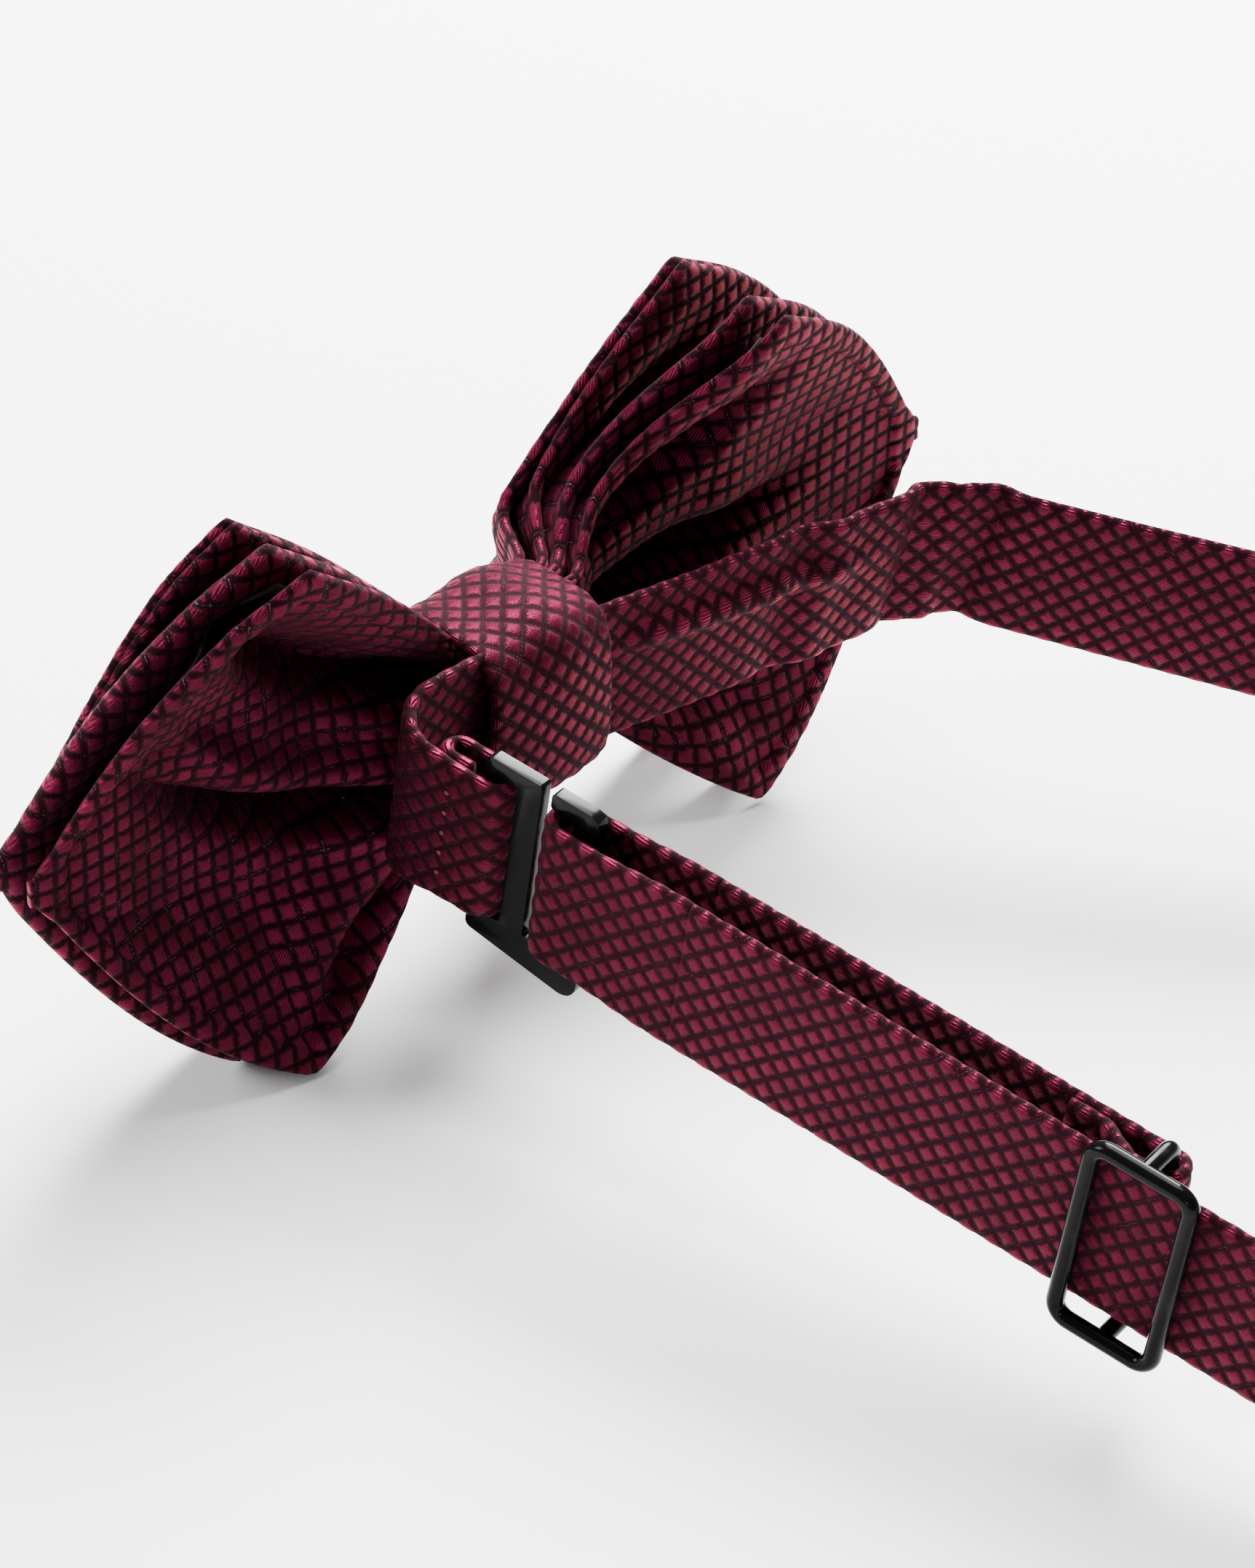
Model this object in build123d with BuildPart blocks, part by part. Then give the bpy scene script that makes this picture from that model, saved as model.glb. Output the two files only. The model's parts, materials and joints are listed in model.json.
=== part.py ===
"""Pre-tied bow tie on an adjustable neckband, with a strap hook and a slider, in build123d.

Frame, in mm: +X along the bow, towards the side with the hook, +Y from the bow towards the wearer,
+Z up.  The bow stands on its lower shoulders, and the origin is on the table, under its middle.
The neckband is a ring.  It leans back a little, so that its far side just reaches the table.
"""
import os
from math import asin, atan2, cos, degrees, hypot, radians, sin

from build123d import *

# ---- the two bows, one behind the other ----
tip_reach = 60.5            # middle of the bow to the point of a wing
shoulder_x = 33.8           # middle of the bow to a shoulder
shoulder_rise = 30.5        # centre line to a shoulder
edge_bulge = 1.7            # the edge from knot to shoulder swells outwards by this much
bulge_along = 0.66          # shares of the swelling along the bow and up, square to that edge
bulge_up = 0.75
waist_x = 11.6
waist_rise = 8.9            # half the height where the knot pinches the bow
tip_round = 1.2
ply = 1.1                   # one ply, with its turned hem
ply_space = 2.0             # between the two plies of a bow
seam_width = 1.6            # the plies are joined this far in from the pointed edges
bow_gap = 0.3               # between the two bows
rear_face = 1.5             # y of the rear bow's back
felt = 0.8                  # interlining of a bow
felt_margin = 2.2

# ---- knot ----
knot_x = 2.9                # the knot sits a little towards the hook side
knot_width = 17.0
knot_over = 1.80            # the knot stands this far above and below the straps
knot_wall = 1.1
knot_round = 2.6
knot_slack = 1.05           # room behind the straps
pad_thick = 1.0
pad_width = 13.5
pad_height = 15.0
pad_round = 3.0
fit_gap = 0.15
thread = 0.4
thread_turns = 3
thread_pitch = 1.5

# ---- straps ----
strap_width = 18.5
loop_width = 17.2           # where a strap is gathered to pass the hook
strap_thick = 1.2
lap_bend = 1.5              # the sewn lap's bends have a radius of this many thicknesses
core_width = 15.0           # stiffening tape inside the straps
core_thick = 0.3
core_room = 0.05
strap_seat = 2.5            # bow's back to the middle of the straps, in the knot
strap_part = 1.0            # the two straps stop this far from the middle
bend_at = (-51.7, 9.9)      # where the far run turns away from the wing
bend_radius = 6.0
hook_at = (18.3, 26.55)     # middle of the prong that holds the neckband
near_heading = 98.5         # direction of the near run, in degrees from +X
near_run = 91.0             # its straight length from the prong
ring_radius = 55.0
fixed_from = 14.0           # the near run is steady from here on
short_bend = 5.0            # corner of the short strap beside the knot
return_run = 5.0            # the short strap comes back this far from the eye
fold_run = 2.5              # and its end is turned under by this much
stitch = 0.5
tack_reach = 1.5            # a tack's stitches reach this far each way
tack_spread = 3.5           # and the straps' stitches stand this far from the middle
stitch_pitch = 2.6
stitches = 5

# ---- hook: a flat plate with a closed eye and an open prong ----
hook_thick = 1.5
hook_bar = 2.9
eye_bar = 1.9
eye_slot = 2.05
open_slot = 4.2
mouth = 1.2
hook_arm = 1.9
base_at_eye = 2.7
base_at_prong = 4.6
slot_play = 0.2             # beside the gathered strap, in the hook
bar_play = 0.1              # round the eye's bar, so that the hook swings
arm_chamfer = 1.3
base_round = 2.2
slot_round = 0.4
edge_bevel = 0.3            # round both faces
loop_slack = 1.7            # the neckband's loop stands off its prong by this much

# ---- slider: a round wire frame with a cross bar behind the strap ----
wire = 1.8
wire_play = 0.175
bar_space = 10.8            # between the middles of the two front bars
side_play = 0.9             # beside the strap
slider_at = 66.0            # from the hook's prong
frame_corner = 1.8
leg_corner = 1.2
layer_gap = 0.25
tail_lap = 11.0             # the tail's end is doubled back over this length
tail_rise = 3.8             # length of the ramp in the doubled end
tail_level = 3.2            # level stretch before the bar
tack_at = 9.0               # from the bar to the tack

# ---- worked out from the sizes above ----
bow_thick = 2 * ply + ply_space
rear_bow_y = rear_face - bow_thick / 2
front_bow_y = rear_bow_y - bow_thick - bow_gap
bows_front = front_bow_y - bow_thick / 2
half_strap = strap_thick / 2
knot_rise = strap_width / 2 + knot_over
strap_y = rear_face + strap_seat
eye_loop = hypot(eye_bar, hook_thick) / 2 + bar_play + half_strap
wrap_radius = wire / 2 + wire_play + half_strap
run_space = wrap_radius + (strap_thick + layer_gap) / 2     # to each run of the doubled strap
slot_height = loop_width + 2 * slot_play

near_dir = Vector(cos(radians(near_heading)), sin(radians(near_heading)))
out_dir = Vector(near_dir.Y, -near_dir.X)


def near(along, out):
    """A point of the ring's plane beside the near run: along it from the prong, and outwards."""
    point = Vector(*hook_at) + near_dir * along + out_dir * out
    return point.X, point.Y


def on_ring(angle):
    """A point of the ring's round part."""
    return ring_middle.X + ring_radius * cos(angle), ring_middle.Y + ring_radius * sin(angle)


# The ring's round part is tangent to the near run, and the far run is tangent to it.
ring_middle = Vector(*near(near_run, run_space - ring_radius))
to_middle = ring_middle - Vector(*bend_at)
far_heading = atan2(to_middle.Y, to_middle.X) + asin(ring_radius / to_middle.length)
far_end = far_heading + radians(90)
near_end = radians(near_heading - 90)

# The ring leans back until the lower edge of its far side is at table height.
reach = ring_middle.Y + ring_radius + half_strap
lean = asin(shoulder_rise / hypot(reach, strap_width / 2)) - atan2(strap_width / 2, reach)
ring = Plane(origin=(0, 0, shoulder_rise), x_dir=(1, 0, 0), z_dir=(0, sin(lean), cos(lean)))

knot_back = strap_y + half_strap + sin(lean) * strap_width / 2 + knot_slack
knot_front = bows_front - thread - pad_thick - 3 * fit_gap
knot_depth = knot_back - knot_front


def beside(along, out):
    """A plane lying on the near run: local x along it, y across the strap, z outwards."""
    x_dir = ring.x_dir * near_dir.X + ring.y_dir * near_dir.Y
    z_dir = ring.x_dir * out_dir.X + ring.y_dir * out_dir.Y
    return Plane(origin=ring.from_local_coords(near(along, out)), x_dir=x_dir, z_dir=z_dir)


def across(path):
    """The plane at the start of a strap's path: local x across the strap, y through it."""
    return Plane(origin=path @ 0, x_dir=ring.z_dir, z_dir=path % 0)


def wing_plane(y):
    return Plane(origin=(0, y, shoulder_rise), x_dir=(1, 0, 0), z_dir=(0, -1, 0))


def bow_lines():
    """Outline of a bow, drawn in the current lines: waist, swelling edges, shoulders, points."""
    middle_x = (waist_x + shoulder_x) / 2 - edge_bulge * bulge_along
    middle_z = (waist_rise + shoulder_rise) / 2 + edge_bulge * bulge_up
    for up in (1, -1):
        Line((-waist_x, up * waist_rise), (waist_x, up * waist_rise))
        for side in (1, -1):
            shoulder = (side * shoulder_x, up * shoulder_rise)
            ThreePointArc((side * waist_x, up * waist_rise), (side * middle_x, up * middle_z), shoulder)
            Line(shoulder, (side * tip_reach, 0))


def pocket_lines():
    """Outline of the room between a bow's plies: open past the long edges, closed at the seams."""
    slope = (tip_reach - shoulder_x) / shoulder_rise
    tip = tip_reach - seam_width * hypot(1, slope)
    past = shoulder_rise + 1
    side = tip - slope * past
    Polyline((side, past), (tip, 0), (side, -past), (-side, -past), (-tip, 0), (-side, past), close=True)


def knot_plane():
    middle_y = (knot_back + knot_front) / 2
    return Plane(origin=(knot_x, middle_y, shoulder_rise), x_dir=(0, 1, 0), z_dir=(1, 0, 0))


os.makedirs("parts", exist_ok=True)


def keep(part, label):
    part.label = label
    export_step(part, f"parts/{label}.step")
    print(f"{label}: {part.volume:.1f} mm3")


# ---------------------------------------------------------------- bows
for label, bow_y in (("front_bow", front_bow_y), ("rear_bow", rear_bow_y)):
    with BuildPart() as bow:
        with BuildSketch(wing_plane(bow_y)) as outline:
            with BuildLine():
                bow_lines()
            make_face()
            fillet(outline.vertices().sort_by(Axis.X)[0], tip_round)
            fillet(outline.vertices().sort_by(Axis.X)[-1], tip_round)
        extrude(amount=bow_thick / 2, both=True)
        with BuildSketch(wing_plane(bow_y)):
            with BuildLine():
                pocket_lines()
            make_face()
        extrude(amount=ply_space / 2, both=True, mode=Mode.SUBTRACT)
    keep(bow.part, label)

    with BuildPart() as lining:
        with BuildSketch(wing_plane(bow_y)):
            with BuildLine():
                bow_lines()
            make_face()
            offset(amount=-felt_margin)
        extrude(amount=felt / 2, both=True)
    keep(lining.part, label + "_interlining")

# Thread that draws the pleats of both bows together, wound round their waist.
with BuildPart() as waist_thread:
    waist_depth = rear_face - bows_front + 2 * fit_gap
    for turn in range(thread_turns):
        x = knot_x + (turn - (thread_turns - 1) / 2) * thread_pitch
        middle = (x, (rear_face + bows_front) / 2, shoulder_rise)
        with BuildSketch(Plane(origin=middle, x_dir=(0, 1, 0), z_dir=(1, 0, 0))):
            Rectangle(waist_depth + 2 * thread, 2 * (waist_rise + fit_gap + thread))
            Rectangle(waist_depth, 2 * (waist_rise + fit_gap), mode=Mode.SUBTRACT)
        extrude(amount=thread / 2, both=True)
keep(waist_thread.part, "waist_thread")

# ---------------------------------------------------------------- knot
with BuildPart() as knot_wrap:
    with BuildSketch(knot_plane()):
        RectangleRounded(knot_depth + 2 * knot_wall, 2 * knot_rise, knot_round)
        RectangleRounded(knot_depth, 2 * (knot_rise - knot_wall), knot_round - knot_wall,
                         mode=Mode.SUBTRACT)
    extrude(amount=knot_width / 2, both=True)
keep(knot_wrap.part, "knot_wrap")

with BuildPart() as knot_pad:
    with BuildSketch(wing_plane(knot_front + fit_gap + pad_thick)) as pad_face:
        with Locations((knot_x, 0)):
            RectangleRounded(pad_width, pad_height, pad_round)
    extrude(amount=pad_thick)
keep(knot_pad.part, "knot_pad")

with BuildPart() as knot_tack:
    below = Plane(origin=(knot_x, 0, shoulder_rise - knot_rise - stitch / 2), x_dir=(1, 0, 0),
                  z_dir=(0, 1, 0))
    with BuildSketch(below):
        with GridLocations(stitch_pitch, 1, stitches, 1):
            Circle(stitch / 2)
    extrude(amount=tack_reach, both=True)
keep(knot_tack.part, "knot_tack")

# ---------------------------------------------------------------- neckband
with BuildPart() as neckband:
    with BuildLine(ring) as band_path:
        FilletPolyline((-strap_part, strap_y), bend_at, on_ring(far_end), radius=bend_radius)
        ThreePointArc(on_ring(far_end), on_ring((far_end + near_end) / 2), near(near_run, run_space))
        Line(near(near_run, run_space), near(fixed_from, run_space))
    band_line = band_path.wire()
    with BuildSketch(across(band_line)):
        Rectangle(strap_width, strap_thick)
    sweep(path=band_line)
    with BuildSketch(across(band_line)):
        Rectangle(core_width + 2 * core_room, core_thick + 2 * core_room)
    sweep(path=band_line, mode=Mode.SUBTRACT)
keep(neckband.part, "neckband")

with BuildPart() as neckband_interlining:
    with BuildSketch(across(band_line)):
        Rectangle(core_width, core_thick)
    sweep(path=band_line)
keep(neckband_interlining.part, "neckband_interlining")

# The neckband's end goes round the hook's prong and comes back on the inside.
with BuildPart() as neckband_loop:
    with BuildLine(ring) as loop_path:
        Line(near(fixed_from, run_space), near(-loop_slack, run_space))
        ThreePointArc(near(-loop_slack, run_space), near(-loop_slack - run_space, 0),
                      near(-loop_slack, -run_space))
        Line(near(-loop_slack, -run_space), near(fixed_from, -run_space))
    with BuildSketch(across(loop_path.wire())):
        Rectangle(loop_width, strap_thick)
    sweep(path=loop_path.wire())
keep(neckband_loop.part, "neckband_loop")

with BuildPart() as neckband_tail:
    with BuildLine(ring) as tail_path:
        Line(near(fixed_from, -run_space), near(slider_at - tail_lap, -run_space))
    with BuildSketch(across(tail_path.wire())):
        Rectangle(strap_width, strap_thick)
    sweep(path=tail_path.wire())
keep(neckband_tail.part, "neckband_tail")

# ---------------------------------------------------------------- slider and the tail sewn to it
bar_out = wrap_radius - run_space
with BuildPart() as tail_end:
    lap_out = strap_thick + layer_gap / 4 - run_space
    top_out = bar_out + wrap_radius
    with BuildLine(ring) as end_path:
        ramp_end = slider_at - tail_level
        FilletPolyline(near(slider_at - tail_lap, lap_out), near(ramp_end - tail_rise, lap_out),
                       near(ramp_end, top_out), near(slider_at, top_out), radius=strap_thick * lap_bend)
        ThreePointArc(near(slider_at, top_out), near(slider_at + wrap_radius, bar_out),
                      near(slider_at, -run_space))
        Line(near(slider_at, -run_space), near(slider_at - tail_lap, -run_space))
    with BuildSketch(across(end_path.wire())):
        Rectangle(strap_width, strap_thick)
    sweep(path=end_path.wire())
keep(tail_end.part, "tail_end")

with BuildPart() as slider_tack:
    with BuildSketch(beside(slider_at - tack_at, (lap_out - run_space) / 2)):
        with GridLocations(1, stitch_pitch, 1, stitches):
            Circle(stitch / 2)
    extrude(amount=strap_thick + stitch / 2, both=True)
keep(slider_tack.part, "slider_tack")

with BuildPart() as strap_slider:
    frame_out = run_space + half_strap + layer_gap + wire / 2
    side = strap_width / 2 + side_play + wire / 2
    with BuildLine(beside(slider_at, frame_out)) as frame_path:
        FilletPolyline((bar_space / 2, side), (bar_space / 2, -side), (-bar_space / 2, -side),
                       (-bar_space / 2, side), close=True, radius=frame_corner)
    frame_line = frame_path.wire()
    with BuildSketch(Plane(origin=frame_line @ 0, z_dir=frame_line % 0)):
        Circle(wire / 2)
    sweep(path=frame_line)
    across_bar = Plane(origin=ring.from_local_coords(near(slider_at, 0)), x_dir=beside(0, 0).y_dir,
                       z_dir=beside(0, 0).x_dir)
    with BuildLine(across_bar) as bar_path:
        FilletPolyline((side, frame_out), (side, bar_out), (-side, bar_out), (-side, frame_out),
                       radius=leg_corner)
    bar_line = bar_path.wire()
    with BuildSketch(Plane(origin=bar_line @ 0, z_dir=bar_line % 0)):
        Circle(wire / 2)
    sweep(path=bar_line)
keep(strap_slider.part, "strap_slider")

# ---------------------------------------------------------------- hook
prong_side = hook_bar / 2
bar_right = -prong_side - open_slot
bar_left = bar_right - hook_bar
eye_side = bar_left - eye_slot - eye_bar
eye_at = eye_side + eye_bar / 2
hook_top = slot_height / 2 + hook_arm
with BuildPart() as strap_hook:
    with BuildSketch(beside(0, 0)) as plate:
        with BuildLine():
            Polyline((eye_side, hook_top), (prong_side, hook_top),
                     (prong_side, -slot_height / 2 - base_at_prong),
                     (eye_side, -slot_height / 2 - base_at_eye), close=True)
        make_face()
        with Locations((bar_right + open_slot / 2, 0)):
            Rectangle(open_slot, slot_height, mode=Mode.SUBTRACT)
        with Locations((bar_right + mouth / 2, (slot_height + hook_arm) / 2)):
            Rectangle(mouth, hook_arm + slot_round, mode=Mode.SUBTRACT)
        top_corners = plate.vertices().group_by(Axis.Y)[-1].sort_by(Axis.X)
        chamfer((top_corners[1], top_corners[-1]), arm_chamfer)
        fillet(plate.vertices().sort_by(Axis.Y)[0], base_round)
        fillet(plate.vertices().group_by(Axis.X)[0], slot_round)
        with Locations((bar_left - eye_slot / 2, 0)):
            Rectangle(eye_slot, slot_height, mode=Mode.SUBTRACT)
    extrude(amount=hook_thick / 2, both=True)
    for face in strap_hook.faces().sort_by(SortBy.AREA)[-2:]:
        chamfer(face.edges(), edge_bevel)
keep(strap_hook.part, "strap_hook")

# ---------------------------------------------------------------- short strap, from the knot to the eye
fold_out = eye_loop - strap_thick - layer_gap / 4
fold_radius = (fold_out + eye_loop) / 2
turn_at = eye_at - return_run
corner_along = (strap_y - near(0, eye_loop)[1]) / near_dir.Y
with BuildPart() as short_strap:
    with BuildLine(ring) as short_path:
        FilletPolyline((strap_part, strap_y), near(corner_along, eye_loop), near(eye_at, eye_loop),
                       radius=short_bend)
        ThreePointArc(near(eye_at, eye_loop), near(eye_at + eye_loop, 0), near(eye_at, -eye_loop))
        Line(near(eye_at, -eye_loop), near(turn_at, -eye_loop))
        ThreePointArc(near(turn_at, -eye_loop), near(turn_at - fold_radius, fold_out - fold_radius),
                      near(turn_at, fold_out))
        Line(near(turn_at, fold_out), near(turn_at + fold_run, fold_out))
    short_line = short_path.wire()
    with BuildSketch(across(short_line)):
        Rectangle(loop_width, strap_thick)
    sweep(path=short_line)
    with BuildSketch(across(short_line)):
        Rectangle(core_width + 2 * core_room, core_thick + 2 * core_room)
    sweep(path=short_line, mode=Mode.SUBTRACT)
keep(short_strap.part, "short_strap")

with BuildPart() as short_strap_interlining:
    with BuildSketch(across(short_line)):
        Rectangle(core_width, core_thick)
    sweep(path=short_line)
keep(short_strap_interlining.part, "short_strap_interlining")

with BuildPart() as short_strap_tack:
    with BuildSketch(beside(turn_at + fold_run / 2, (fold_out + eye_loop) / 2)):
        with GridLocations(1, stitch_pitch, 1, stitches):
            Circle(stitch / 2)
    extrude(amount=strap_thick + stitch / 2, both=True)
keep(short_strap_tack.part, "short_strap_tack")

# Stitches that hold the two straps' ends behind the bow's waist, inside the knot.
with BuildPart() as band_tack:
    for x in (-tack_spread, tack_spread):
        end = Plane(origin=ring.from_local_coords((x, strap_y)), x_dir=ring.x_dir, z_dir=ring.y_dir)
        with BuildSketch(end):
            with GridLocations(1, stitch_pitch, 1, stitches):
                Circle(stitch / 2)
        extrude(amount=half_strap + stitch, both=True)
keep(band_tack.part, "band_tack")

print(f"ring leans {degrees(lean):.2f} degrees, far run heads {degrees(far_heading):.2f} degrees")
print(f"neckband line {band_line.length:.1f} mm, short strap line {short_line.length:.1f} mm")
print(f"knot back y {knot_back + knot_wall:.2f}, knot front y {knot_front - knot_wall:.2f}")
print(f"eye pivot {ring.from_local_coords(near(eye_at, 0))}, axis {ring.z_dir}")
print(f"slider direction {beside(0, 0).x_dir}, prong {ring.from_local_coords(near(0, 0))}")
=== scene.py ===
# %% [markdown]
# # A pre-tied bow tie
# The tie is cloth almost all over: two bows one behind the other, a knot wrapped round them, and a
# neckband that closes into a ring behind the knot. A flat metal hook and a bent-wire slider join the
# ring. The metal parts and every size come from a finished CAD model, which is loaded first. Each
# soft piece is then made where the CAD keeps room for it.

# %% Load the frame
import json
from math import atan2, cos, hypot, pi, radians, sin

import bpy
import numpy as np
from mathutils import Matrix, Vector


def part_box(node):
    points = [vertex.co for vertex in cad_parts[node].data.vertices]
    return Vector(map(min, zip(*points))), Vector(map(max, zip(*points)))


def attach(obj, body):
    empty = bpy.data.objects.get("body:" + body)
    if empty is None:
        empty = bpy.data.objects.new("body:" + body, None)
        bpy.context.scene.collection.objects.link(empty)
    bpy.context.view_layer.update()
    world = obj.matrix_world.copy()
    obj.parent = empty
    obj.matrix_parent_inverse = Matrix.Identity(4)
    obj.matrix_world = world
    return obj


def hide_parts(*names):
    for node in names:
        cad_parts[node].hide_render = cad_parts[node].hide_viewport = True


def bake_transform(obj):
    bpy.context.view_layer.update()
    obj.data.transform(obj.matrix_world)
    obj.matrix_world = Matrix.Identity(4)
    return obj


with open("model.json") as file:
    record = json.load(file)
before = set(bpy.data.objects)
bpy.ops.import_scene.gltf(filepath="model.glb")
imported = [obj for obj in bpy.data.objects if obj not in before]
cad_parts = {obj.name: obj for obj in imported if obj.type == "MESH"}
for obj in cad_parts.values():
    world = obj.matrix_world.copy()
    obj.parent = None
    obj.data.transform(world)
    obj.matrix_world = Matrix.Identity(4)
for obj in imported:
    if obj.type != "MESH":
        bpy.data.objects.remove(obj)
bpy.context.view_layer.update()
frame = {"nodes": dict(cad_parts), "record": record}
joints = {joint["name"]: joint for joint in frame["record"]["behaviour"]["joints"]}

# %% [markdown]
# ## Places
# Lengths are written in millimetres, as on a pattern sheet, and turned into metres once. The rear
# bow's box gives the middle of the bow and its reach. The hook's hinge gives the upright direction of
# the leaning ring, and the slider's slide gives the direction of the straight strap beside it.

# %% Directions and places read from the frame
MM = 0.001


def span(node):
    """Lowest and highest corner of a CAD node, in millimetres."""
    low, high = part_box(node)
    return np.array(low) / MM, np.array(high) / MM


bow_low, bow_high = span("rear_bow")
knot_low, knot_high = span("knot_wrap")
bow_rise = (bow_high[2] - bow_low[2]) / 2
tip_extra = 0.4         # mm that the cloth's point reaches past the CAD bow
tip_reach = (bow_high[0] - bow_low[0]) / 2 + tip_extra
upright = np.array(joints["hook_swing"]["axis"])
upright = upright / np.linalg.norm(upright)
along = np.array(joints["slider_slide"]["axis"])
along = along / np.linalg.norm(along)
outward = np.cross(along, upright)
eye = np.array(joints["hook_swing"]["pos_m"]) / MM
eye_to_prong = 11.55    # mm along the strap, from the hook's eye to its prong
ring_back = np.cross(upright, (1, 0, 0))
print(f"bow reaches {tip_reach:.1f} mm, knot {knot_high[0] - knot_low[0]:.1f} mm wide")


def beside(u, out, v):
    """World millimetres from a place on the near strap: along it, outwards, and up across it."""
    u, out, v = (np.asarray(value, float)[..., None] for value in (u, out, v))
    return eye + along * (u + eye_to_prong) + outward * out + upright * v


def on_ring(x, y, v):
    """World millimetres from a place in the ring's own plane, and up across the strap."""
    x, y, v = (np.asarray(value, float)[..., None] for value in (x, y, v))
    return np.array((0, 0, bow_rise)) + np.array((1, 0, 0)) * x + ring_back * y + upright * v


def from_ring(point):
    """A world point's place in the ring's own plane."""
    offset = np.asarray(point) - (0, 0, bow_rise)
    return np.array((offset[0], offset @ ring_back))


# %% [markdown]
# ## Camera, floor and light
# The camera stands high behind the hook's side and looks down across the knot through a long lens, so
# that the near wing, the hook and the straps fill the view. The floor is plain and pale. Large soft
# lights stand round the tie, and the one behind the far wing rakes across the weave and picks it out.

# %% Camera, floor and lights
view_azimuth, view_height, view_roll = radians(134), radians(35.5), radians(2)
view_distance = 520.0   # mm from the camera to the point it is aimed at
sensor_width = 36       # mm
frame_width = 1725
frame_per_mm = 13.5     # frame units that one millimetre covers at the aim
focal = frame_per_mm * view_distance
look = np.array((-sin(view_azimuth) * cos(view_height), cos(view_azimuth) * cos(view_height),
                 -sin(view_height)))
level = np.array((cos(view_azimuth), sin(view_azimuth), 0))
above = np.cross(level, look)
right = cos(view_roll) * level + sin(view_roll) * above
up = -sin(view_roll) * level + cos(view_roll) * above
aim = np.array((0, 0, bow_rise))
aim_left, aim_up = 10.0, 10.6       # mm from the frame's centre to the middle of the bow
camera_place = aim - look * view_distance + right * aim_left - up * aim_up

bpy.ops.object.camera_add(location=camera_place * MM)
camera = bpy.context.object
camera.name = "view"
turn = Matrix((right, up, -look)).transposed()
camera.matrix_world = Matrix.Translation(Vector(camera_place * MM)) @ turn.to_4x4()
camera.data.sensor_fit = "HORIZONTAL"
camera.data.sensor_width = sensor_width
camera.data.lens = sensor_width * focal / frame_width
camera.data.clip_start = 0.01
bpy.context.scene.camera = camera


def nothing_selected():
    if bpy.context.object and bpy.context.object.mode != "OBJECT":
        bpy.ops.object.mode_set(mode="OBJECT")
    bpy.ops.object.select_all(action="DESELECT")


def soft_light(name, place, target, size, watts):
    """A square area light that faces its target. Places and size are in metres."""
    nothing_selected()
    bpy.ops.object.light_add(type="AREA", location=place)
    lamp = bpy.context.object
    lamp.name = name
    lamp.data.size = size
    lamp.data.energy = watts
    facing = Vector(target) - Vector(place)
    lamp.rotation_euler = facing.to_track_quat("-Z", "Y").to_euler()


floor_drop = 0.0002     # metres, so that the floor shares no plane with the cloth
nothing_selected()
bpy.ops.mesh.primitive_plane_add(size=6, location=(0, 0, -floor_drop))
floor = bpy.context.object
floor.name = "floor"
soft_light("back_light", (-0.55, -0.30, 0.60), (0, 0.02, 0.02), 0.40, 44)
soft_light("side_light", (0.50, -0.45, 0.40), (0.02, 0, 0.03), 0.30, 7)
soft_light("top_light", (-0.20, -0.15, 0.95), (0, 0.03, 0.02), 0.6, 26)
soft_light("glint_light", (0.42, 0.42, 0.16), (0.035, 0, 0.012), 0.05, 0.34)
world = bpy.data.worlds.new("studio")
bpy.context.scene.world = world
world.use_nodes = True
background = world.node_tree.nodes["Background"]
background.inputs["Color"].default_value = (1, 1, 1, 1)
background.inputs["Strength"].default_value = 0.24
print(f"camera: {view_distance:.0f} mm away, with a {camera.data.lens:.0f} mm lens")

# %% [markdown]
# ## A small kit for materials
# Shader maths reads best as a formula. One class wraps a socket, so that sums and products of wires
# add the Math nodes by themselves, and one method makes any other node.

# %% The wire class


class Wire:
    """A socket of a material. Arithmetic on it adds Math nodes."""

    def __init__(self, tree, socket):
        self.tree = tree
        self.socket = socket

    def make(self, kind, settings, inputs, output=0):
        """Adds a node of this kind. Settings come first, and then its sockets' values or links."""
        node = self.tree.nodes.new(kind)
        for name, value in settings.items():
            setattr(node, name, value)
        for key, value in inputs.items():
            if isinstance(value, Wire):
                self.tree.links.new(value.socket, node.inputs[key])
            else:
                node.inputs[key].default_value = value
        return Wire(self.tree, node.outputs[output])

    def maths(self, operation, *values):
        return self.make("ShaderNodeMath", {"operation": operation}, dict(enumerate(values)))

    def __add__(self, other):
        return self.maths("ADD", self, other)

    def __radd__(self, other):
        return self.maths("ADD", other, self)

    def __sub__(self, other):
        return self.maths("SUBTRACT", self, other)

    def __rsub__(self, other):
        return self.maths("SUBTRACT", other, self)

    def __mul__(self, other):
        return self.maths("MULTIPLY", self, other)

    def __rmul__(self, other):
        return self.maths("MULTIPLY", other, self)

    def step(self, low, high):
        """0 below low, 1 above high, and smooth between them."""
        return self.make("ShaderNodeMapRange", {"interpolation_type": "SMOOTHSTEP"},
                         {"Value": self, "From Min": low, "From Max": high})

    def noise(self, scale, detail):
        """Soft random patches, 0 to 1, read at the place that this wire gives."""
        return self.make("ShaderNodeTexNoise", {},
                         {"Vector": self, "Scale": scale, "Detail": detail})

    def bump(self, strength, distance):
        """Small hills where this wire is high. The distance is in metres."""
        return self.make("ShaderNodeBump", {},
                         {"Strength": strength, "Distance": distance, "Height": self})


def colour_mix(share, first, second):
    """The Mix node's colour sockets are 6 and 7, and its colour result is output 2."""
    return share.make("ShaderNodeMix", {"data_type": "RGBA"}, {0: share, 6: first, 7: second}, 2)


def new_material(name):
    """An empty material, its shader, and a wire to build on."""
    material = bpy.data.materials.new(name)
    material.use_nodes = True
    shader = material.node_tree.nodes["Principled BSDF"]
    return material, shader, Wire(material.node_tree, None)


def object_place(kit):
    """Each point's place on its object."""
    return kit.make("ShaderNodeTexCoord", {}, {}, "Object")


def plug(shader, name, wire):
    wire.tree.links.new(wire.socket, shader.inputs[name])


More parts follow.
